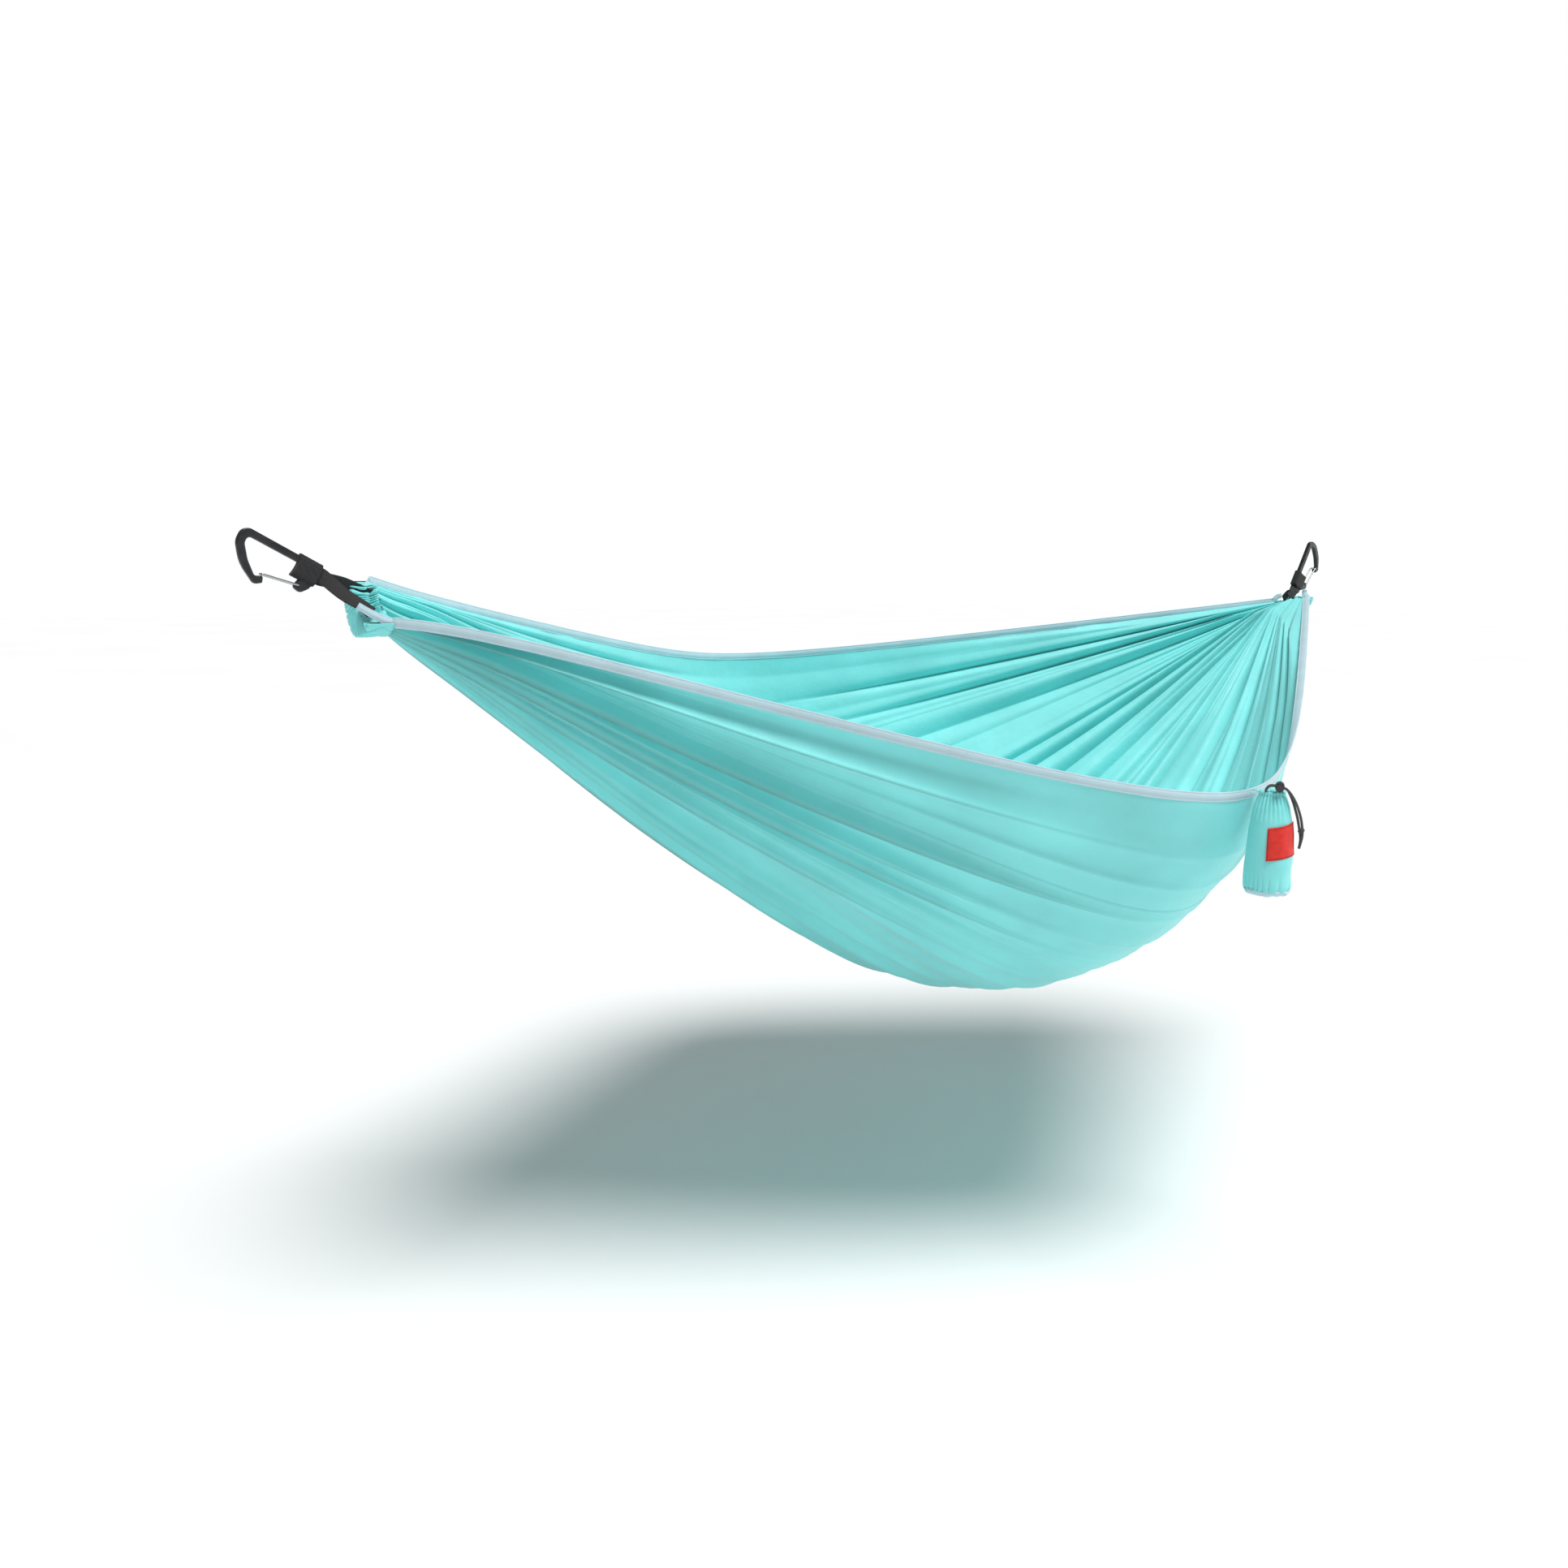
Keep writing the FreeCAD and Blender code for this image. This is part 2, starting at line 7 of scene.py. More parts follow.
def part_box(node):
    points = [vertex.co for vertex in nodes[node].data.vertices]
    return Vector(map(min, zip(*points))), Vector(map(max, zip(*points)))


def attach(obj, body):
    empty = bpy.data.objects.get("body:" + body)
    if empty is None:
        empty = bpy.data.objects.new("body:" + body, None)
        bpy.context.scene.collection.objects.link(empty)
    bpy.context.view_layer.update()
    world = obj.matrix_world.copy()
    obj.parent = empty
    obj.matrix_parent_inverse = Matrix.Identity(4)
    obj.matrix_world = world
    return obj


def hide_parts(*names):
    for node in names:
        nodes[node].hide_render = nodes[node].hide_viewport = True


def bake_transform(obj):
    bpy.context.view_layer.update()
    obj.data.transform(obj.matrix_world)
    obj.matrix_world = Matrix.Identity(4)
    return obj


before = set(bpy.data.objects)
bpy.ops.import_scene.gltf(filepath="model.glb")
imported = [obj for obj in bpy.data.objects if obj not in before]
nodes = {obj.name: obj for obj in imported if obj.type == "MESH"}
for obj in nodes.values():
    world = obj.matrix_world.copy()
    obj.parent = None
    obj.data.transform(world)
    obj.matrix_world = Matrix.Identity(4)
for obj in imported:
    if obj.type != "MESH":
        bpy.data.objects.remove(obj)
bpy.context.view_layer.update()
scene = bpy.context.scene
MM = 0.001

# ------------------------------------------------------------------ camera
camera_data = bpy.data.cameras.new("camera")
camera_data.lens = 31.68
camera_data.sensor_width = 36.0
camera_data.shift_y = 0.0155
camera = bpy.data.objects.new("camera", camera_data)
camera.location = (-0.502, -1.894, -0.0471)
camera.rotation_euler = (math.radians(90 - 9.54), 0, math.radians(-35.794))
scene.collection.objects.link(camera)
scene.camera = camera


# ------------------------------------------------------------------ materials
def new_material(name):
    material = bpy.data.materials.new(name)
    material.use_nodes = True
    tree = material.node_tree
    return material, tree, tree.nodes["Principled BSDF"]


def node(tree, kind, **values):
    made = tree.nodes.new(kind)
    for key, value in values.items():
        if key in made.inputs:
            made.inputs[key].default_value = value
        else:
            setattr(made, key, value)
    return made


def coordinates(tree, scale, output="Object"):
    where = tree.nodes.new("ShaderNodeTexCoord")
    mapping = tree.nodes.new("ShaderNodeMapping")
    mapping.inputs["Scale"].default_value = scale
    tree.links.new(where.outputs[output], mapping.inputs["Vector"])
    return mapping.outputs["Vector"]


def noise_of(tree, scale, size, detail=3.0, output="Object"):
    made = node(tree, "ShaderNodeTexNoise", Scale=size, Detail=detail)
    tree.links.new(coordinates(tree, scale, output), made.inputs["Vector"])
    return made.outputs["Fac"]


def ramp(tree, factor, stops):
    made = tree.nodes.new("ShaderNodeValToRGB")
    made.color_ramp.elements[0].position = stops[0][0]
    made.color_ramp.elements[0].color = stops[0][1]
    made.color_ramp.elements[1].position = stops[-1][0]
    made.color_ramp.elements[1].color = stops[-1][1]
    for position, color in stops[1:-1]:
        made.color_ramp.elements.new(position).color = color
    tree.links.new(factor, made.inputs["Fac"])
    return made.outputs["Color"]


def math_of(tree, operation, first, second=0.5):
    made = node(tree, "ShaderNodeMath", operation=operation)
    for slot, value in enumerate((first, second)):
        if isinstance(value, (int, float)):
            made.inputs[slot].default_value = value
        else:
            tree.links.new(value, made.inputs[slot])
    return made.outputs[0]


def bump(tree, shader, height, strength, distance, under=None):
    made = node(tree, "ShaderNodeBump", Strength=strength, Distance=distance)
    tree.links.new(height, made.inputs["Height"])
    if under is not None:
        tree.links.new(under, made.inputs["Normal"])
    tree.links.new(made.outputs["Normal"], shader.inputs["Normal"])
    return made.outputs["Normal"]


def rgba(red, green, blue):
    return (red, green, blue, 1)


def shade(color, factor):
    return rgba(*(min(1, channel * factor) for channel in color[:3]))


def cloth_material(name, color, crinkle=1.0, weave=1400, sheen=0.25):
    """Thin woven nylon: slight colour drift, a ripstop grid, a fine weave and soft crinkles."""
    material, tree, shader = new_material(name)
    drift = noise_of(tree, (1, 1, 1), 7.0)
    tone = ramp(tree, drift, [(0.3, shade(color, 0.93)), (0.7, shade(color, 1.06))])
    tree.links.new(tone, shader.inputs["Base Color"])
    shader.inputs["Roughness"].default_value = 0.52
    shader.inputs["Sheen Weight"].default_value = sheen
    shader.inputs["Sheen Roughness"].default_value = 0.4
    shader.inputs["Specular IOR Level"].default_value = 0.35
    rough = ramp(tree, noise_of(tree, (1, 1, 1), 40.0),
                 [(0.3, rgba(0.44, 0.44, 0.44)), (0.7, rgba(0.6, 0.6, 0.6))])
    tree.links.new(rough, shader.inputs["Roughness"])
    vector = coordinates(tree, (1, 1, 1), "UV")
    threads = []
    for direction in ("X", "Y"):
        wave = node(tree, "ShaderNodeTexWave", Scale=weave / 2, bands_direction=direction)
        tree.links.new(vector, wave.inputs["Vector"])
        threads.append(wave.outputs["Fac"])
    woven = math_of(tree, "MULTIPLY", threads[0], threads[1])
    ribs = []
    for direction in ("X", "Y"):
        wave = node(tree, "ShaderNodeTexWave", Scale=33.0, bands_direction=direction)
        tree.links.new(vector, wave.inputs["Vector"])
        ribs.append(math_of(tree, "GREATER_THAN", wave.outputs["Fac"], 0.985))
    grid = math_of(tree, "MAXIMUM", ribs[0], ribs[1])
    first = bump(tree, shader, woven, 0.12, 0.0002)
    second = bump(tree, shader, grid, 0.10, 0.0002, first)
    crumple = noise_of(tree, (1, 1, 1), 55.0, 4.0)
    bump(tree, shader, crumple, 0.22 * crinkle, 0.004, second)
    return material


def tape_material(name, color):
    """Folded edge tape: fine cross ribs and two rows of stitches, from its own UV in metres."""
    material, tree, shader = new_material(name)
    drift = noise_of(tree, (1, 1, 1), 18.0)
    base = ramp(tree, drift, [(0.3, shade(color, 0.93)), (0.7, shade(color, 1.05))])
    uv = tree.nodes.new("ShaderNodeTexCoord")
    parts = tree.nodes.new("ShaderNodeSeparateXYZ")
    tree.links.new(uv.outputs["UV"], parts.inputs["Vector"])
    offset = math_of(tree, "ABSOLUTE", parts.outputs["Y"])
    row = math_of(tree, "SUBTRACT", offset, 0.0053)
    on_row = math_of(tree, "LESS_THAN", math_of(tree, "ABSOLUTE", row), 0.0006)
    place = math_of(tree, "FRACT", math_of(tree, "DIVIDE", parts.outputs["X"], 0.0034))
    dash = math_of(tree, "LESS_THAN", place, 0.72)
    stitch = math_of(tree, "MULTIPLY", on_row, dash)
    mix = node(tree, "ShaderNodeMixRGB")
    tree.links.new(stitch, mix.inputs["Fac"])
    tree.links.new(base, mix.inputs["Color1"])
    mix.inputs["Color2"].default_value = shade(color, 1.3)
    tree.links.new(mix.outputs["Color"], shader.inputs["Base Color"])
    shader.inputs["Roughness"].default_value = 0.62
    shader.inputs["Sheen Weight"].default_value = 0.3
    ribs = node(tree, "ShaderNodeTexWave", Scale=380.0, bands_direction="X")
    tree.links.new(coordinates(tree, (1, 1, 1), "UV"), ribs.inputs["Vector"])
    first = bump(tree, shader, ribs.outputs["Fac"], 0.15, 0.0002)
    second = bump(tree, shader, stitch, 0.5, 0.0005, first)
    crumple = noise_of(tree, (1, 1, 1), 90.0, 3.0)
    bump(tree, shader, crumple, 0.25, 0.002, second)
    return material


def webbing_material(name, color, output="UV", scale=(1, 1, 1)):
    """Woven webbing: chevron ribs along its length, threads lighter where the weave is raised.
    """
    material, tree, shader = new_material(name)
    vector = coordinates(tree, scale, output)
    ribs = node(tree, "ShaderNodeTexWave", Scale=190.0, bands_direction="Y",
                Distortion=0.6, **{"Detail Scale": 3.0})
    picks = node(tree, "ShaderNodeTexWave", Scale=330.0, bands_direction="DIAGONAL",
                 Distortion=0.4)
    tree.links.new(vector, ribs.inputs["Vector"])
    tree.links.new(vector, picks.inputs["Vector"])
    woven = math_of(tree, "MULTIPLY", ribs.outputs["Fac"], picks.outputs["Fac"])
    tone = ramp(tree, woven, [(0.15, shade(color, 0.45)), (0.8, shade(color, 1.9))])
    tree.links.new(tone, shader.inputs["Base Color"])
    shader.inputs["Roughness"].default_value = 0.75
    shader.inputs["Sheen Weight"].default_value = 0.08
    shader.inputs["Sheen Roughness"].default_value = 0.5
    bump(tree, shader, woven, 0.7, 0.0006)
    return material


def hard_material(name, color, metallic, roughness, spread=0.08, grain=350.0, depth=0.05):
    """Anodised, moulded or drawn surface with fine grain and small roughness changes."""
    material, tree, shader = new_material(name)
    drift = noise_of(tree, (1, 1, 1), 60.0, 5.0)
    tone = ramp(tree, drift, [(0.3, shade(color, 0.85)), (0.7, shade(color, 1.12))])
    tree.links.new(tone, shader.inputs["Base Color"])
    shader.inputs["Metallic"].default_value = metallic
    low, high = roughness - spread, roughness + spread
    rough = ramp(tree, noise_of(tree, (1, 1, 1), 140.0, 4.0),
                 [(0.3, rgba(low, low, low)), (0.7, rgba(high, high, high))])
    tree.links.new(rough, shader.inputs["Roughness"])
    bump(tree, shader, noise_of(tree, (1, 1, 1), grain * 6, 2.0), depth, 0.0003)
    return material


AQUA = rgba(0.245, 0.79, 0.785)
PALE = rgba(0.50, 0.68, 0.75)
CHARCOAL = rgba(0.016, 0.016, 0.018)
nylon = cloth_material("aqua_nylon", AQUA)
sack_nylon = cloth_material("sack_nylon", AQUA, 0.8)
base_nylon = cloth_material("pale_nylon", PALE, 0.8)
tape = tape_material("edge_tape", PALE)
webbing = webbing_material("webbing", CHARCOAL)
cad_webbing = webbing_material("webbing_hidden_run", CHARCOAL, "Object")
anodised = hard_material("anodised_aluminium", rgba(0.050, 0.051, 0.054), 0.75, 0.36)
wire = hard_material("gate_wire", rgba(0.44, 0.45, 0.46), 1.0, 0.28, 0.06, 500.0, 0.02)
plastic = hard_material("lock_plastic", rgba(0.040, 0.040, 0.043), 0.0, 0.42, 0.08, 250.0, 0.1)
spring_steel = hard_material("spring_steel", rgba(0.6, 0.6, 0.62), 1.0, 0.3)


def cord_material():
    """Braided cord: crossing diagonal strands along the cord's own UV."""
    material, tree, shader = new_material("braided_cord")
    vector = coordinates(tree, (60, 3, 1), "UV")
    one = node(tree, "ShaderNodeTexWave", Scale=1.0, bands_direction="DIAGONAL")
    tree.links.new(vector, one.inputs["Vector"])
    mirrored = coordinates(tree, (60, -3, 1), "UV")
    two = node(tree, "ShaderNodeTexWave", Scale=1.0, bands_direction="DIAGONAL")
    tree.links.new(mirrored, two.inputs["Vector"])
    braid = math_of(tree, "MAXIMUM", one.outputs["Fac"], two.outputs["Fac"])
    tone = ramp(tree, braid, [(0.2, rgba(0.016, 0.016, 0.018)),
                              (0.9, rgba(0.085, 0.085, 0.09))])
    tree.links.new(tone, shader.inputs["Base Color"])
    shader.inputs["Roughness"].default_value = 0.7
    shader.inputs["Sheen Weight"].default_value = 0.3
    bump(tree, shader, braid, 0.6, 0.0004)
    return material


def label_material():
    """Red woven patch with a fine weave, nothing written on it."""
    material, tree, shader = new_material("label_red")
    drift = noise_of(tree, (1, 1, 1), 120.0)
    tone = ramp(tree, drift, [(0.3, rgba(0.68, 0.018, 0.010)), (0.7, rgba(0.82, 0.028, 0.016))])
    tree.links.new(tone, shader.inputs["Base Color"])
    shader.inputs["Roughness"].default_value = 0.6
    shader.inputs["Sheen Weight"].default_value = 0.03
    checks = node(tree, "ShaderNodeTexChecker", Scale=1500.0)
    tree.links.new(coordinates(tree, (1, 1, 1), "UV"), checks.inputs["Vector"])
    bump(tree, shader, checks.outputs["Fac"], 0.25, 0.0002)
    return material


cord_braid = cord_material()
label_red = label_material()
thread = hard_material("dark_thread", rgba(0.02, 0.02, 0.022), 0.0, 0.8)


# ------------------------------------------------------------------ mesh helpers
def mesh_object(name, points, faces, material, uv=None, smooth=True):
    mesh = bpy.data.meshes.new(name)
    mesh.from_pydata([tuple(p) for p in points], [], faces)
    if uv is not None:
        layer = mesh.uv_layers.new(name="UVMap")
        loops = np.zeros(len(mesh.loops), dtype=np.int64)
        mesh.loops.foreach_get("vertex_index", loops)
        layer.data.foreach_set("uv", np.asarray(uv, float)[loops].ravel())
    if smooth:
        mesh.polygons.foreach_set("use_smooth", [True] * len(mesh.polygons))
    mesh.materials.append(material)
    mesh.update()
    piece = bpy.data.objects.new(name, mesh)
    scene.collection.objects.link(piece)
    return piece


def grid_faces(rows, columns, wrap=False, start=0):
    faces = []
    for i in range(rows - 1):
        for j in range(columns if wrap else columns - 1):
            k = (j + 1) % columns
            faces.append((start + i * columns + j, start + (i + 1) * columns + j,
                          start + (i + 1) * columns + k, start + i * columns + k))
    return faces


def grid_object(name, grid, material, uv=None, wrap=False, caps=False):
    """Mesh from an array of points, (rows, columns, 3)."""
    rows, columns = grid.shape[:2]
    faces = grid_faces(rows, columns, wrap)
    if caps:
        faces.append(tuple(range(columns)))
        faces.append(tuple((rows - 1) * columns + j for j in reversed(range(columns))))
    flat_uv = None if uv is None else uv.reshape(-1, 2)
    return mesh_object(name, grid.reshape(-1, 3), faces, material, flat_uv)


def solidify(piece, thickness):
    modifier = piece.modifiers.new("cloth", "SOLIDIFY")
    modifier.thickness = thickness
    modifier.offset = 0.0
    apply_modifiers(piece)


def apply_modifiers(piece):
    graph = bpy.context.evaluated_depsgraph_get()
    made = bpy.data.meshes.new_from_object(piece.evaluated_get(graph))
    piece.modifiers.clear()
    piece.data = made


def unit(vectors):
    return vectors / np.maximum(np.linalg.norm(vectors, axis=-1, keepdims=True), 1e-12)


def smoothstep(low, high, x):
    t = np.clip((x - low) / (high - low), 0, 1)
    return t * t * (3 - 2 * t)


def smooth_line(stops, count):
    """Catmull-Rom through a few stops."""
    stops = np.array(stops, float)
    padded = np.concatenate([2 * stops[:1] - stops[1:2], stops, 2 * stops[-1:] - stops[-2:-1]])
    t = np.linspace(0, len(stops) - 1, count)
    k = np.minimum(t.astype(int), len(stops) - 2)
    f = (t - k)[:, None]
    p0, p1, p2, p3 = (padded[k + i] for i in range(4))
    return 0.5 * (2 * p1 + (p2 - p0) * f + (2 * p0 - 5 * p1 + 4 * p2 - p3) * f ** 2
                  + (3 * p1 - p0 - 3 * p2 + p3) * f ** 3)


def finish_piece(piece, body, slot, *replaced):
    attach(piece, body)
    if replaced:
        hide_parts(*replaced)


# ------------------------------------------------------------------ drawcord
SACK_MOUTH = np.array([1.2633, -0.6812, -0.3591])
SACK_FRONT = np.array([-0.82, -0.57, 0.0])
SACK_RIGHT = np.array([0.57, -0.82, 0.0])
CORD = 3.8 * MM
# places (right, front, up) from the sack's mouth, in metres
STRAND_ROUTE = [(-.0094, .0133, .00005), (-.0094, .0134, .0033), (-.0064, .0138, .0078),
                (-.0014, .0140, .00992), (.0179, .0140, .00652), (.0243, .0130, -.0012),
                (.0304, .0115, -.0126), (.0352, .0090, -.0258), (.0392, .0065, -.0388),
                (.0416, .0040, -.0512), (.0436, .0025, -.0640), (.0432, .0015, -.0745),
                (.0412, .0005, -.0845)]
# half the distance between the strands at each place, (front, right)
STRAND_SPREAD = [(.0021, 0)] * 5 + [(.0020, .0008), (.0015, .0018), (.0008, .0023),
                                    (.0002, .0024), (0, .0023), (.0015, .0016),
                                    (.0021, .0003), (.0022, 0)]
KNOT = (.0429, .0030, -.0575)


def beside(spot, spread=(0.0, 0.0), way=0):
    right, front, up = spot
    return (SACK_MOUTH + SACK_RIGHT * (right + way * spread[1])
            + SACK_FRONT * (front + way * spread[0]) + np.array([0, 0, up]))


def strand(name, way):
    curve = bpy.data.curves.new(name, "CURVE")
    curve.dimensions = "3D"
    curve.bevel_depth = CORD / 2
    curve.bevel_resolution = 4
    curve.resolution_u = 10
    curve.use_fill_caps = True
    line = curve.splines.new("NURBS")
    line.points.add(len(STRAND_ROUTE) - 1)
    for point, spot, spread in zip(line.points, STRAND_ROUTE, STRAND_SPREAD):
        point.co = (*beside(spot, spread, way), 1)
    line.order_u = 3
    line.use_endpoint_u = True
    curve.materials.append(cord_braid)
    piece = bpy.data.objects.new(name, curve)
    scene.collection.objects.link(piece)
    return piece


def knot_mesh():
    """Overhand knot: a tight trefoil of the same cord round both strands."""
    turn = np.linspace(0, 2 * math.pi, 72, endpoint=False)
    line = np.stack([np.sin(turn) + 2 * np.sin(2 * turn), np.cos(turn) - 2 * np.cos(2 * turn),
                     -1.6 * np.sin(3 * turn)], -1)
    line *= 1.12 * MM
    ahead = unit(np.roll(line, -1, 0) - np.roll(line, 1, 0))
    side = unit(np.cross(ahead, [0, 0, 1.0]))
    over = np.cross(side, ahead)
    around = np.linspace(0, 2 * math.pi, 12, endpoint=False)
    ring = (side[:, None] * np.cos(around)[None, :, None]
            + over[:, None] * np.sin(around)[None, :, None]) * (CORD * 0.47)
    grid = line[:, None] + ring
    grid = np.concatenate([grid, grid[:1]], 0) + beside(KNOT)
    uv = np.stack(np.meshgrid(np.linspace(0, 1, 73), np.linspace(0, 1, 12), indexing="ij"), -1)
    return grid_object("drawcord_overhand_knot", grid, cord_braid, uv, wrap=True)


knot = knot_mesh()
finish_piece(knot, "stuff_sack", "cord", "drawcord_knot")
for number, way in ((1, -1), (2, 1)):
    cord_piece = strand("drawcord_%d" % number, way)
    finish_piece(cord_piece, "stuff_sack", "cord", "drawcord_strand_%d" % number)

# ------------------------------------------------------------------ bed surface
SPAN = 2.100
GATHER_HALF, GATHER_DEPTH = 0.042, 0.045
NEAR_HALF, FAR_HALF = 0.607, 0.647
NEAR_DROP, FAR_DROP = 0.277, 0.142
BED_DROP, BED_SHIFT = 0.688, 0.068
PLAN_BEND, EDGE_BEND, BED_BEND = 0.165, 0.226, 0.129
FULLNESS = 1.15
NEAR_LEFT, NEAR_RIGHT = -0.011, -0.014
FAR_LEFT, FAR_RIGHT = 0.018, -0.025
NEAR_TUCK, FAR_TUCK, TUCK_POWER = -0.020, 0.007, 24
LEFT_GATHER = np.array([0.1755, 0.0, -0.0785])
CLOTH_WIDTH, CLOTH_LENGTH = 1.87, 2.55
SEAM = 0.12
CLOTH_THICK = 0.5 * MM
FINE = 480


def bow(u, bend):
    t = 2 * u - 1
    return 1 - (np.hypot(t, bend) - bend) / (math.hypot(1, bend) - bend)


def bed_line(u):
    """Points from the near edge to the far one, for an array of places along the span."""
    angle = np.linspace(0, math.pi, FINE + 1)[None, :]
    u = np.asarray(u, float)[:, None]
    tuck = (1 - u) ** TUCK_POWER
    plan, sag, keel = bow(u, PLAN_BEND), bow(u, EDGE_BEND), bow(u, BED_BEND)
    middle = BED_SHIFT * keel
    low = -GATHER_DEPTH - BED_DROP * keel
    near = np.cos(angle) >= 0
    near_top = -NEAR_DROP * sag + NEAR_LEFT * (1 - u) + NEAR_RIGHT * u + NEAR_TUCK * tuck
    far_top = -FAR_DROP * sag + FAR_LEFT * (1 - u) + FAR_RIGHT * u + FAR_TUCK * tuck
    top = np.where(near, near_top, far_top)
    reach = np.where(near, GATHER_HALF + NEAR_HALF * plan + middle,
                     GATHER_HALF + FAR_HALF * plan - middle)
    y = middle - reach * np.cos(angle)
    z = top - (top - low) * np.abs(np.sin(angle)) ** FULLNESS
    x = SPAN * u + 0 * angle
    return LEFT_GATHER + np.stack([x, y, z], -1)


def bed_grid(u, shares):
    """Smooth bed: points, inward normals and each section's length."""
    line = bed_line(u)
    run = np.zeros(line.shape[:2])
    run[:, 1:] = np.cumsum(np.linalg.norm(np.diff(line, axis=1), axis=2), axis=1)
    total = run[:, -1]
    points = np.zeros((len(u), len(shares), 3))
    for i in range(len(u)):
        for axis in range(3):
            points[i, :, axis] = np.interp(shares * total[i], run[i], line[i, :, axis])
    along = np.gradient(points, axis=0)
    over = np.gradient(points, axis=1)
    normals = unit(np.cross(along, over))
    return points, normals, total


def irregular(shares, count, seed):
    """Pleat number as a function of the share across, with uneven widths."""
    rng = np.random.default_rng(seed)
    phase = count * shares
    for k in range(1, 7):
        phase = phase + rng.uniform(0.25, 0.6) / k ** 0.5 * np.sin(
            2 * math.pi * (k * shares + rng.uniform()))
    return phase


def pleat_value(phase, seed, spread=0.45):
    """Smooth random number for each pleat."""
    rng = np.random.default_rng(seed)
    values = 1 + spread * rng.uniform(-1, 1, 400)
    return np.interp(phase + 20, np.arange(400) + 0.5, values)


def fold(phase, sharp=0.85, lean=0.10):
    """Broad crest, narrow valley at whole numbers."""
    leaning = phase + lean * np.sin(2 * math.pi * phase)
    return 2 * np.abs(np.sin(math.pi * leaning)) ** sharp - 1


LEFT_PLEATS, RIGHT_PLEATS = 19, 17


def room_inside(points, normals):
    """How far a crest may rise from each point before it reaches the line between the edges."""
    near, far = points[:, :1], points[:, -1:]
    share = (points[..., 1] - near[..., 1]) / (far[..., 1] - near[..., 1])
    level = near[..., 2] * (1 - share) + far[..., 2] * share
    upward = (level - points[..., 2]) / np.maximum(normals[..., 2], 0.3)
    half = 0.5 * (far[..., 1] - near[..., 1])
    return np.clip(np.minimum(upward, 0.75 * half), 0, None)


def pleats(u, shares, total, room):
    """Displacement along the inward normal, (places, shares)."""
    spare = np.sqrt(np.maximum(CLOTH_WIDTH ** 2 - total ** 2, 0.003))[:, None]
    u = u[:, None]
    edge = smoothstep(0, 0.03, shares) * smoothstep(0, 0.03, 1 - shares)
    panel = 0.7 + 0.3 * smoothstep(0.08, 0.16, shares) * smoothstep(0.08, 0.16, 1 - shares)
    depth = np.zeros((len(u), len(shares)))
    for count, seed, way in ((LEFT_PLEATS, 3, u), (RIGHT_PLEATS, 11, 1 - u)):
        phase = irregular(shares, count, seed)[None, :]
        strong = pleat_value(phase, seed + 1)
        lasting = pleat_value(phase, seed + 2, 0.5)
        reach = np.minimum(spare / (4 * count), 0.42 * room + 0.0015)
        if count == LEFT_PLEATS:
            reach = reach * (0.55 + 0.45 * smoothstep(0.0, 0.05, way))
        tight = 1 - smoothstep(0.0, 0.25, way)
        window = 1 - smoothstep(0.30, 0.95, way / lasting)
        crest = fold(phase, 0.64 - 0.06 * tight) + 0.7 * tight
        window = window * (1 - 0.65 * smoothstep(0.28, 0.50, way))
        depth = depth + 0.85 * reach * strong * window * crest
        doubled = irregular(shares, 2.3 * count, seed + 5)[None, :]
        close = 1 - smoothstep(0.02, 0.25, way / pleat_value(doubled, seed + 6, 0.5))
        depth = depth + 0.13 * reach * close * smoothstep(0.0, 0.06, way) * fold(doubled, 0.9)
    broad = irregular(shares, 7, 31)[None, :]
    depth = depth + 0.0020 * np.sin(math.pi * u) * np.sin(2 * math.pi * broad + 5 * u)
    return depth * edge * panel


STATIONS = 150
stations_u = 0.5 - 0.5 * np.cos(math.pi * np.linspace(0, 1, STATIONS + 1))
COLUMNS = 430
shares_all = np.linspace(0, 1, COLUMNS + 1)
smooth_points, smooth_normals, section_lengths = bed_grid(stations_u, shares_all)
cloth_depth = pleats(stations_u, shares_all, section_lengths,
                     room_inside(smooth_points, smooth_normals))
cloth_points = smooth_points + smooth_normals * cloth_depth[..., None]
centre_line = smooth_points[:, COLUMNS // 2]
along_run = np.r_[0, np.cumsum(np.linalg.norm(np.diff(centre_line, axis=0), axis=1))]


def cloth_piece(name, first, last, replaced):
    columns = slice(first, last + 1)
    grid = cloth_points[:, columns]
    uv = np.stack(np.meshgrid(along_run, shares_all[columns] * CLOTH_WIDTH, indexing="ij"), -1)
    piece = grid_object(name, grid, nylon, uv)
    solidify(piece, CLOTH_THICK)
    finish_piece(piece, "bed", "bed_nylon", replaced)


near_seam = round(SEAM * COLUMNS)
far_seam = COLUMNS - near_seam
cloth_piece("near_side_cloth", 0, near_seam, "near_side_panel")
cloth_piece("centre_cloth", near_seam, far_seam, "centre_panel")
cloth_piece("far_side_cloth", far_seam, COLUMNS, "far_side_panel")


def tape_loft(name, line, wide, normal, half, thick, material, groove=0.0, run=None):
    """Closed tape: centre line, width and thickness directions at each station."""
    across = np.array([-1, -.96, -.78, -.71, -.64, 0, .64, .71, .78, .96, 1])
    lift = np.array([.35, .85, 1, 1 - groove, 1, 1, 1, 1 - groove, 1, .85, .35])
    a = np.r_[across, across[::-1]] * half
    n = np.r_[lift, -lift[::-1]] * thick / 2
    grid = line[:, None] + wide[:, None] * a[None, :, None] + normal[:, None] * n[None, :, None]
    if run is None:
        run = np.r_[0, np.cumsum(np.linalg.norm(np.diff(line, axis=0), axis=1))]
    uv = np.stack([np.repeat(run[:, None], len(a), 1), np.repeat(a[None, :], len(run), 0)], -1)
    return grid_object(name, grid, material, uv, wrap=True, caps=True)


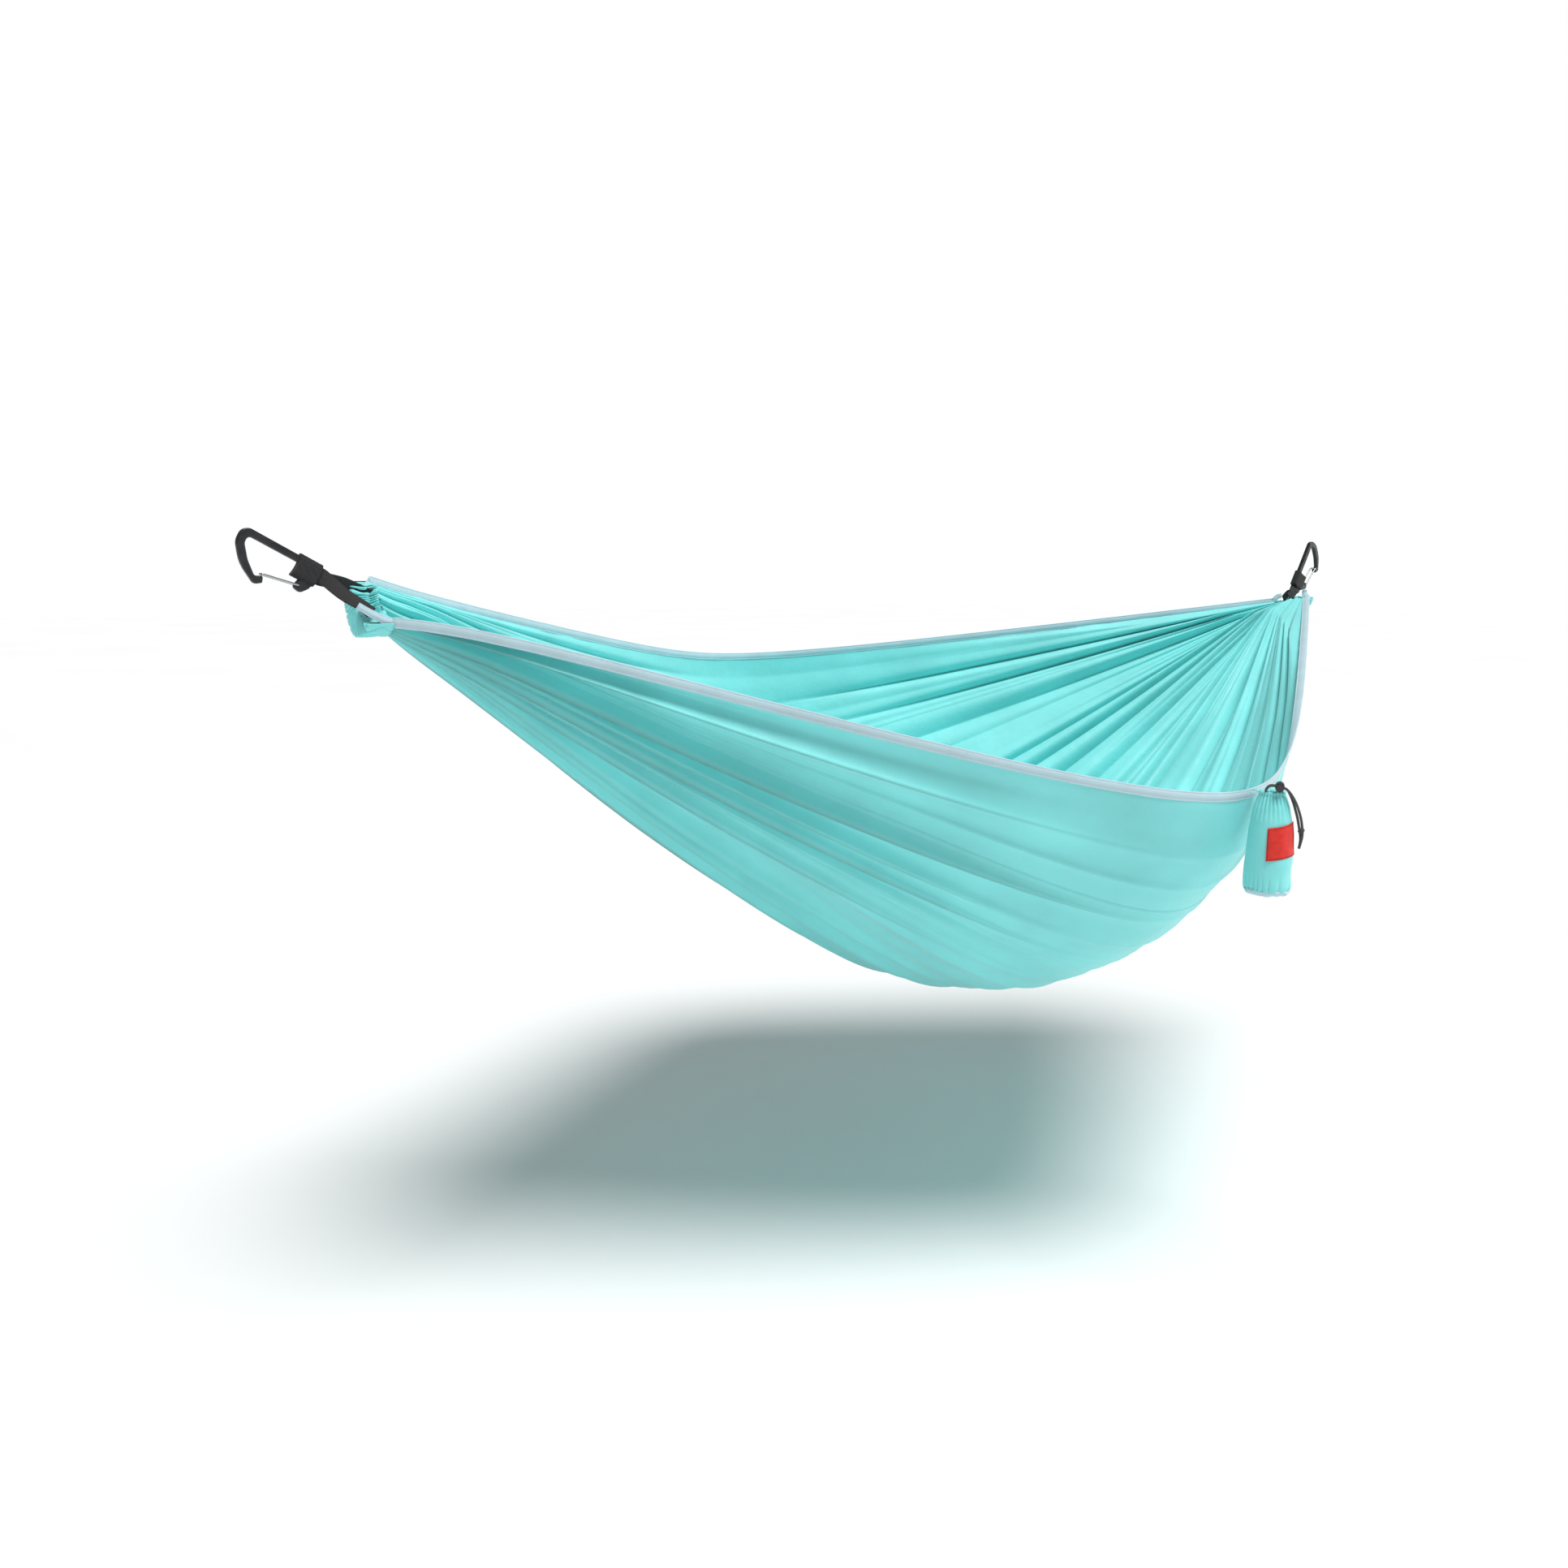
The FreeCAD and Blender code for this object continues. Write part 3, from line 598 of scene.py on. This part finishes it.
def wobble(count, size, seed, fine=3.0):
    """Smooth small offsets along a line."""
    return np.array([noise.noise(Vector((i / fine, seed, 0.0))) for i in range(count)]) * size


TRIM_HALF, TRIM_THICK = 7.5 * MM, 3.0 * MM
LEFT_CHANNEL, RIGHT_CHANNEL = 0.034, 0.018
# where each trim goes beyond the gather, from its tip inwards
TRIM_ENDS = {
    (False, -1): [(.1290, -.040, -.0860), (.1450, -.042, -.0960), (.1650, -.0435, -.1065)],
    (True, -1): [(.1620, .026, -.0735), (.1660, .034, -.0640), (.1740, .040, -.0565)],
    (False, 1): [(2.2800, -.034, -.0760), (2.2790, -.035, -.0850)],
    (True, 1): [(2.2960, .036, -.0905), (2.2850, .039, -.0935)],
}


# on the right the near tape turns over, to face this way
TRIM_FACING = np.array([0.83, 0.55, -0.03])
END_STATIONS = 20              # the tape keeps one attitude over these, at each end


def edge_trim(name, far, replaced):
    line = bed_line(stations_u)
    edge = line[:, -1] if far else line[:, 0]
    inner = line[:, -8] if far else line[:, 7]
    wide = unit(edge - inner)
    tangent = unit(np.gradient(edge, axis=0))
    normal = unit(np.cross(tangent, wide)) * (-1 if far else 1)
    before = smooth_line(TRIM_ENDS[far, -1] + [edge[0]], 9)[:-1]
    after = smooth_line(TRIM_ENDS[far, 1] + [edge[-1]], 9)[:-1][::-1]
    edge = np.concatenate([before, edge, after])
    if not far:
        face = unit(np.cross(tangent, TRIM_FACING))
        face = face * np.sign((face * wide)[3 * STATIONS // 4:].sum())
        turn = 0.75 * smoothstep(0.50, 0.80, stations_u)[:, None]
        wide = unit(wide * (1 - turn) + face * turn)
    steady = np.clip(np.arange(len(wide)), END_STATIONS, len(wide) - 1 - END_STATIONS)
    wide = wide[steady]
    wide = np.concatenate([wide[:1].repeat(8, 0), wide, wide[-1:].repeat(8, 0)])
    padded = np.concatenate([wide[:1].repeat(6, 0), wide, wide[-1:].repeat(6, 0)])
    wide = unit(sum(padded[k:k + len(wide)] for k in range(13)))
    tangent = unit(np.gradient(edge, axis=0))
    normal = unit(np.cross(tangent, wide)) * (-1 if far else 1)
    wide = unit(np.cross(normal, tangent)) * (-1 if far else 1)
    shake = wobble(len(edge), 1.4 * MM, 5.0 if far else 9.0)
    edge = edge + normal * shake[:, None]
    narrow = 1 - 0.35 * (smoothstep(12, 0, np.arange(len(edge)))
                         + smoothstep(len(edge) - 12, len(edge), np.arange(len(edge))))
    piece = tape_loft(name, edge, wide * narrow[:, None], normal, TRIM_HALF, TRIM_THICK, tape,
                      0.30)
    finish_piece(piece, "bed", "edge_tape", replaced)
    return piece


edge_trim("near_edge_tape", False, "near_edge_trim")
edge_trim("far_edge_tape", True, "far_edge_trim")


def seam_strip(name, column):
    """Felled seam: a narrow doubled strip with two sewn rows."""
    line = cloth_points[:, column]
    wide = unit(cloth_points[:, column + 2] - cloth_points[:, column - 2])
    normal = unit(np.cross(np.gradient(line, axis=0), wide))
    half = np.minimum(5.5 * MM, section_lengths * 0.02)
    strip = tape_loft(name, line, wide, normal, 1.0, 1.7 * MM, nylon, 0.35, along_run)
    co = np.array([v.co for v in strip.data.vertices]).reshape(len(line), -1, 3)
    offset = co - line[:, None]
    level = (offset * wide[:, None]).sum(-1, keepdims=True) * wide[:, None]
    co = line[:, None] + (offset - level) + level * half[:, None, None]
    strip.data.vertices.foreach_set("co", co.ravel())
    strip.data.update()
    finish_piece(strip, "bed", "bed_nylon")
    return strip


seam_strip("near_felled_seam", near_seam)
seam_strip("far_felled_seam", far_seam)


# ------------------------------------------------------------------ gathered ends
def ruche(name, side, length, replaced):
    """Cloth bunched on its webbing: a filled bunch with deep folds and a ruffled outer end."""
    columns = 360
    shares = np.linspace(0, 1, columns + 1)
    end = np.array([0.0, 0.004]) if side < 0 else np.array([0.996, 1.0])
    row = 0 if side < 0 else -1
    points, normals = bed_grid(end, shares)[:2]
    room = room_inside(points, normals)[row]
    base, inward = points[row], normals[row].copy()
    inward[:, 0] = 0
    inward = unit(inward)
    count, seed = (LEFT_PLEATS, 3) if side < 0 else (RIGHT_PLEATS, 11)
    phase = irregular(shares, count, seed)
    doubled = irregular(shares, 2.3 * count, seed + 5)
    edge = smoothstep(0, 0.03, shares) * smoothstep(0, 0.03, 1 - shares)
    loop = []
    around = np.linspace(0, 1, 30)
    for t in around:
        out = min(t, 1 - t) / 0.42
        inner_share = 0.5 + 0.5 * math.cos(math.pi * min(max((t - 0.42) / 0.16, 0), 1))
        rim = max(0.0, out - 1) / 0.19
        sway = 0.30 * math.sin(5 * min(out, 1) + side)
        crest = 0.5 + 0.5 * fold(phase + sway, 0.9)
        small = fold(doubled + 0.4 * out, 0.9)
        high = room * (0.30 + 0.62 * crest) * edge + 0.5 * MM * small * edge
        low = -(3.5 + 2.6 * crest + 0.4 * small) * MM
        pinch = 1 - 0.25 * math.exp(-((out - 0.25) / 0.12) ** 2)
        lift = (high * inner_share + low * (1 - inner_share)) * pinch
        ruffle = (0.22 * crest + 0.03 * small) * min(out, 1) * length
        x = side * (min(out, 1) * length * 0.86 + ruffle + 2.0 * MM * rim)
        loop.append(base + inward * lift[:, None] + np.stack([x, 0 * x, 0 * x], -1))
    grid = np.stack(loop)
    uv = np.stack(np.meshgrid(around * 2 * length, shares * CLOTH_WIDTH, indexing="ij"), -1)
    piece = grid_object(name, grid, nylon, uv)
    solidify(piece, CLOTH_THICK)
    finish_piece(piece, "bed", "bed_nylon", replaced)
    return piece


ruche("left_end_ruche", -1, LEFT_CHANNEL, "left_end_channel")
ruche("right_end_ruche", 1, RIGHT_CHANNEL, "right_end_channel")

# ------------------------------------------------------------------ slings
HANG = (12.0, 16.0)
SLOPES = {-1: 29.3, 1: 61.0}
RIGHT_HANG = np.array([2.3481, 0.0, 0.017])
HITCH = (80.0, 113.0, -3.2, 29.5)
HITCH_HALF = 7.4


def rig(side):
    slope = math.radians(SLOPES[side])
    along = np.array([-side * math.cos(slope), 0, -math.sin(slope)])
    across = np.array([side * math.sin(slope), 0, -math.cos(slope)])
    hang = np.zeros(3) if side < 0 else RIGHT_HANG
    return hang, along, across, np.cross(along, across)


def flat(side, a, b, n=0.0):
    """Carabiner coordinates in millimetres to the row frame."""
    hang, along, across, normal = rig(side)
    a, b, n = (np.asarray(value, float)[..., None] * MM for value in (a, b, n))
    return hang + along * (a - HANG[0] * MM) + across * (b - HANG[1] * MM) + normal * n


STRAND_ENDS = {(-1, True): (.1380, -.0300, -.0860), (-1, False): (.1580, .0200, -.0700),
               (1, True): (2.2720, -.0080, -.0860), (1, False): (2.2790, .0080, -.0860)}


def sling_strand(name, side, near):
    """One strand of webbing from the hitch to a mouth of the channel."""
    across, normal = rig(side)[2:]
    end = np.array(STRAND_ENDS[side, near])
    turned = (1 if near else -1) * side
    way = side if near else -side
    start = flat(side, 109.0, 12.0, way * 4.6)
    lead = flat(side, 118.0, 12.0 + 1.5 * way, way * 4.4)
    middle = (lead + end) * 0.5 + np.array([0, 0, way * 0.003])
    inward = unit(end - lead)
    line = smooth_line([start, lead, middle, end, end + inward * 0.016], 40)
    x_axis = np.array([1.0 * side, 0, 0])
    wide_stops = [across, across + 0.1 * turned * normal,
                  across + x_axis + 0.35 * turned * normal,
                  x_axis, x_axis]
    wide = unit(smooth_line(wide_stops, 40))
    tangent = unit(np.gradient(line, axis=0))
    normal_line = unit(np.cross(wide, tangent))
    wide = unit(np.cross(tangent, normal_line))
    bow_in = wobble(40, 0.6 * MM, 3.0 + near + 2 * side, 6.0)
    line = line + normal_line * bow_in[:, None]
    piece = tape_loft(name, line, wide, normal_line, 10.0 * MM, 2.3 * MM, webbing, 0.12)
    return piece


def sling_hitch(side):
    """Girth hitch: ribbed webbing wrapped over the sling end of the carabiner."""
    a0, a1, b0, b1 = HITCH
    around = np.linspace(0, 2 * math.pi, 96, endpoint=False)
    power = 0.42
    b_unit = np.sign(np.cos(around)) * np.abs(np.cos(around)) ** power
    n_unit = np.sign(np.sin(around)) * np.abs(np.sin(around)) ** power
    b_mid, b_half = (b0 + b1) / 2, (b1 - b0) / 2
    rings, uvs = [], []
    count = 56
    steps = np.linspace(-0.08, 1.08, count)
    for t in steps:
        inside = min(max(t, 0), 1)
        tuck = 1 - 0.30 * max(0, -t, t - 1) / 0.08
        rib = abs(math.sin(math.pi * inside * 6)) ** 0.6
        swell = 0.35 + 0.65 * rib
        knit = 0.32 * np.sin(around * 26 + (1.5 if int(inside * 6) % 2 else 0))
        grow = (swell - 0.9 + knit) * 0.55
        hollow = 2.6 * (1 - b_unit ** 2) * (1 - inside) ** 1.5
        a = a0 + (a1 - a0) * inside + hollow + 1.5 * inside * (1 - b_unit ** 2)
        b = b_mid + (b_half + grow) * b_unit * (0.93 + 0.07 * tuck)
        n = (HITCH_HALF + grow) * n_unit * tuck
        rings.append(flat(side, a, b, n))
        uvs.append(np.stack([around * 0.012, np.full(96, inside * 0.033)], -1))
    name = ("left" if side < 0 else "right") + "_girth_hitch"
    piece = grid_object(name, np.stack(rings), webbing, np.stack(uvs), wrap=True, caps=True)
    return piece


for side, word in ((-1, "left"), (1, "right")):
    carabiner = word + "_carabiner"
    hitch = sling_hitch(side)
    finish_piece(hitch, carabiner, "webbing", word + "_sling_hitch")
    blend_to = LEFT_GATHER + np.array([0 if side < 0 else SPAN, 0, 0])
    blend_to = blend_to + np.array([side * (LEFT_CHANNEL if side < 0 else RIGHT_CHANNEL), 0, 0])
    for near in (True, False):
        strand_piece = sling_strand("%s_sling_%s_strand" % (word, "near" if near else "far"),
                                    side, near)
        if near:
            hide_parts(word + "_sling_strands")
        if side < 0:
            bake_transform(strand_piece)
        else:
            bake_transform(strand_piece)


def dress(name, material):
    piece = nodes[name]
    piece.data.materials.clear()
    piece.data.materials.append(material)


for word in ("left", "right"):
    dress(word + "_carabiner_body", anodised)
    dress(word + "_wire_gate", wire)
    dress(word + "_sling_channel_run", cad_webbing)
dress("cord_lock_barrel", plastic)
dress("cord_lock_button", plastic)
dress("cord_lock_spring", spring_steel)
dress("drawcord_channel_run", cord_braid)

# ------------------------------------------------------------------ stuff sack
SACK_DEPTHS = np.array([6.4, 9, 24, 42, 61, 94, 119, 144, 150]) * MM
SACK_RADII = np.array([17.6, 19, 25, 29.3, 31.8, 33.2, 33.6, 32.9, 31.6]) * MM


def sack_radius(depth):
    return np.interp(depth, SACK_DEPTHS, SACK_RADII)


def sack_point(angle, radius, depth):
    """Angle from the sack's front towards its right, radius and depth below the mouth."""
    level = (SACK_FRONT * np.cos(angle)[..., None] + SACK_RIGHT * np.sin(angle)[..., None])
    return SACK_MOUTH + level * radius[..., None] - np.array([0, 0, 1.0]) * depth[..., None]


def sack_gathers(angle, depth):
    """Radius change from the gathers below the mouth, the pleats at the base and soft dents."""
    turn = angle / (2 * math.pi)
    rng = np.random.default_rng(5)
    phase = 24 * turn
    low = 17 * turn
    for k in (1, 2, 3):
        phase = phase + rng.uniform(0.2, 0.5) * np.sin(2 * math.pi * (k * turn + rng.uniform()))
        low = low + rng.uniform(0.2, 0.5) * np.sin(2 * math.pi * (k * turn + rng.uniform()))
    upper = (1 - smoothstep(0.010, 0.058, depth)) ** 1.3
    lower = smoothstep(0.116, 0.148, depth)
    change = 1.9 * MM * upper * fold(phase, 0.9) + 1.1 * MM * lower * fold(low, 0.9)
    folds = np.sin(2 * math.pi * (3 * turn + 0.2) + depth * 40)
    change = change + 0.9 * MM * smoothstep(0.03, 0.07, depth) * folds
    return change


AROUND_SACK = 240              # points round the sack
SACK_WALL = 1.3 * MM
# rolled hem as (radius, depth) in millimetres, from inside to outside
HEM_ROLL = [(10.5, 6.5), (10.4, 3.0), (12.1, 0.6), (14.9, -0.5), (17.4, 0.7), (18.3, 3.2),
            (17.4, 5.6)]
BASE_RADII = np.array([32.4, 31.9, 30.6, 28.0, 23.5, 16.2, 8.1, 0.5]) * MM
BASE_DEPTHS = np.array([146.5, 150.2, 152.6, 154.5, 156.0, 157.1, 157.7, 157.8]) * MM


def stuff_sack():
    """Double-walled cloth with a rolled hem, and a bulging base."""
    around = np.linspace(0, 2 * math.pi, AROUND_SACK, endpoint=False)
    outer_depth = np.r_[np.linspace(0.0075, 0.060, 26), np.linspace(0.064, 0.150, 30)]
    inner_depth = outer_depth[::-1]
    rings = []
    for depth in inner_depth:
        d = np.full(AROUND_SACK, depth)
        radius = sack_radius(d) + sack_gathers(around, d) - SACK_WALL
        rings.append(sack_point(around, radius, d))
    for radius, depth in HEM_ROLL:
        d = np.full(AROUND_SACK, depth * MM)
        change = sack_gathers(around, d) * (0.35 if radius < 13 else 0.6)
        wave = 0.5 * MM * np.sin(around * 9 + 1.0)
        rings.append(sack_point(around, radius * MM + change, d + wave))
    for depth in outer_depth:
        d = np.full(AROUND_SACK, depth)
        rings.append(sack_point(around, sack_radius(d) + sack_gathers(around, d), d))
    grid = np.stack(rings)
    rows = np.linspace(0, 0.34, len(rings))
    uv = np.stack(np.meshgrid(rows, around * 33.5 * MM, indexing="ij"), -1)
    piece = grid_object("stuff_sack_cloth", grid, sack_nylon, uv, wrap=True)
    co = np.array([noise.noise(Vector(v.co) * 38.0) for v in piece.data.vertices])
    points = np.array([v.co for v in piece.data.vertices])
    centre = SACK_MOUTH * np.array([1, 1, 0]) + points * np.array([0, 0, 1])
    points = points + unit(points - centre) * (co * 1.4 * MM * smoothstep(
        0.005, 0.05, SACK_MOUTH[2] - points[:, 2]))[:, None]
    piece.data.vertices.foreach_set("co", points.ravel())
    piece.data.update()
    finish_piece(piece, "stuff_sack", "sack_nylon", "sack_body", "sack_mouth_hem")

    rings = []
    for radius, depth in zip(BASE_RADII, BASE_DEPTHS):
        d = np.full(AROUND_SACK, depth)
        wave = (0.7 * MM * np.sin(around * 11 + radius * 300)
                + 0.5 * MM * np.sin(around * 5 + 2)) * radius / (32 * MM)
        rings.append(sack_point(around, np.full(AROUND_SACK, radius) + 0.5 * wave, d + wave))
    uv = np.stack(np.meshgrid(BASE_RADII, around * 0.03, indexing="ij"), -1)
    base = grid_object("sack_base_cloth", np.stack(rings), base_nylon, uv, wrap=True)
    solidify(base, CLOTH_THICK)
    finish_piece(base, "stuff_sack", "sack_base_cloth", "sack_base")


LABEL_FROM, LABEL_SWEEP = math.radians(-7), math.radians(90)
LABEL_TILT = 0.008
LABEL_TOP, LABEL_HEIGHT = 0.048, 0.049


def on_label(across, down, lift):
    """Place on the label from shares across and down it."""
    angle = LABEL_FROM + LABEL_SWEEP * across
    depth = LABEL_TOP + LABEL_HEIGHT * down - LABEL_TILT * (across - 0.5)
    radius = sack_radius(depth) + 0.9 * MM + lift
    return sack_point(angle, radius + 0 * angle, depth + 0 * angle)


def sack_label():
    across, down = np.meshgrid(np.linspace(0, 1, 30), np.linspace(0, 1, 20), indexing="ij")
    curl = 0.5 * MM * (np.abs(2 * across - 1) ** 8 + np.abs(2 * down - 1) ** 8)
    grid = on_label(across, down, curl + 0.4 * MM * np.sin(across * 5) * np.sin(down * 4))
    uv = np.stack([across * 0.052, down * LABEL_HEIGHT], -1)
    piece = grid_object("red_label_patch", grid, label_red, uv)
    modifier = piece.modifiers.new("thick", "SOLIDIFY")
    modifier.thickness = 0.8 * MM
    modifier.offset = 0.0
    apply_modifiers(piece)
    finish_piece(piece, "stuff_sack", "label", "sack_label")

    points, faces = [], []
    for side, fixed in (("down", 0.04), ("down", 0.96), ("across", 0.04), ("across", 0.96)):
        for k in range(22):
            middle = 0.05 + 0.9 * (k + 0.5) / 22
            ends = np.array([middle - 0.013, middle + 0.013])
            thin = np.array([-0.004, 0.004])
            corners = []
            for lift in (0.3 * MM, 1.15 * MM):
                for e, w in ((0, 0), (1, 0), (1, 1), (0, 1)):
                    if side == "down":
                        spot = (fixed + thin[w], ends[e])
                    else:
                        spot = (ends[e], fixed + thin[w])
                    corners.append(on_label(np.array(spot[0]), np.array(spot[1]),
                                            np.array(lift)))
            start = len(points)
            points += corners
            faces += [tuple(start + i for i in f) for f in
                      ((0, 1, 2, 3), (7, 6, 5, 4), (0, 4, 5, 1), (1, 5, 6, 2), (2, 6, 7, 3),
                       (3, 7, 4, 0))]
    stitches = mesh_object("label_stitches", points, faces, thread, smooth=False)
    finish_piece(stitches, "stuff_sack", "label")


def hang_tab():
    """Folded tape loop from the sack's hem to the edge tape."""
    low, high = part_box("sack_hang_tab")
    middle = (low + high) / 2
    stops = [(middle.x, low.y - 0.004, middle.z - 0.0015), (middle.x, low.y + 0.004, middle.z),
             (middle.x, middle.y, middle.z + 0.001), (middle.x, high.y, middle.z)]
    line = smooth_line(stops, 16)
    wide = np.repeat(np.array([[1.0, 0, 0]]), 16, 0)
    normal = unit(np.cross(wide, np.gradient(line, axis=0)))
    piece = tape_loft("sack_hang_tape", line, wide, normal, 8.0 * MM, 1.8 * MM, sack_nylon, 0.2)
    finish_piece(piece, "stuff_sack", "sack_nylon", "sack_hang_tab")


stuff_sack()
sack_label()
hang_tab()

# ------------------------------------------------------------------ floor and light
FLOOR_Z = -1.15
floor_material, floor_tree, floor_shader = new_material("pale_floor")
floor_tone = ramp(floor_tree, noise_of(floor_tree, (1, 1, 1), 0.6),
                  [(0.3, rgba(0.87, 0.87, 0.87)), (0.7, rgba(0.90, 0.90, 0.90))])
floor_tree.links.new(floor_tone, floor_shader.inputs["Base Color"])
floor_shader.inputs["Roughness"].default_value = 0.9
FLOOR_HALF = 40.0
corners = [(x * FLOOR_HALF, y * FLOOR_HALF, FLOOR_Z) for x, y in
           ((-1, -1), (1, -1), (1, 1), (-1, 1))]
floor = mesh_object("studio_floor", corners, [(0, 1, 2, 3)], floor_material, smooth=False)


def sun(name, away, strength, degrees):
    """Soft parallel light coming from the direction given."""
    data = bpy.data.lights.new(name, "SUN")
    data.energy = strength
    data.angle = math.radians(degrees)
    light = bpy.data.objects.new(name, data)
    light.rotation_euler = Vector(away).to_track_quat("Z", "Y").to_euler()
    scene.collection.objects.link(light)


STUDIO_LIGHT = 0.27            # from all round; the camera itself sees plain white
sun("key", (0.1, -1.1, 3.0), 2.9, 30)
sun("side", (3.4, -1.7, 0.7), 0.70, 30)
world = bpy.data.worlds.new("studio")
world.use_nodes = True
world_tree = world.node_tree
backdrop = world_tree.nodes["Background"]
backdrop.inputs["Color"].default_value = (1, 1, 1, 1)
seen = world_tree.nodes.new("ShaderNodeLightPath")
strength = node(world_tree, "ShaderNodeMapRange")
strength.inputs["To Min"].default_value = STUDIO_LIGHT
strength.inputs["To Max"].default_value = 1.0
world_tree.links.new(seen.outputs["Is Camera Ray"], strength.inputs["Value"])
world_tree.links.new(strength.outputs["Result"], backdrop.inputs["Strength"])
scene.view_settings.view_transform = "Standard"
scene.world = world
